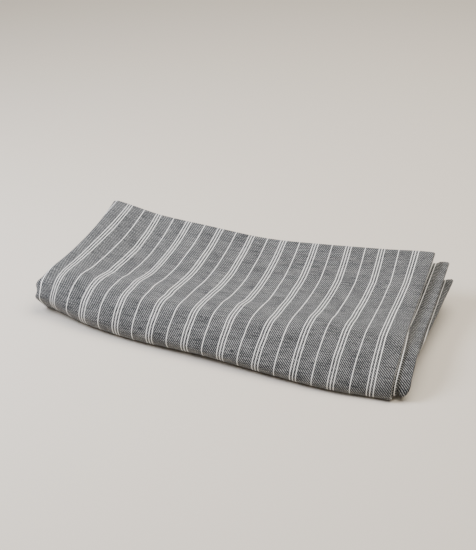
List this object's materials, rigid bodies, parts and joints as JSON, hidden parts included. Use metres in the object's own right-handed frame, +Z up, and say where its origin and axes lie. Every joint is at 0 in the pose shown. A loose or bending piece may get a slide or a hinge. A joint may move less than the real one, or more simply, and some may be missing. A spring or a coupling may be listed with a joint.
{
  "type": "folded tablecloth",
  "caption": "Striped cotton twill tablecloth, folded into a flat bundle with a rounded front fold, lying on a surface.",
  "frame": {"origin": "centre of the bounding box, at its underside", "axes": "+X along the bundle towards its stepped open end, +Y from the front fold to the far edge, +Z up"},
  "size_m": [0.4004, 0.1992, 0.055],
  "materials": {
    "striped_twill": "dark blue-grey cotton twill with fine off-white stripes, matt"
  },
  "bodies": {
    "root": {"tablecloth": "striped_twill"}
  },
  "joints": []
}
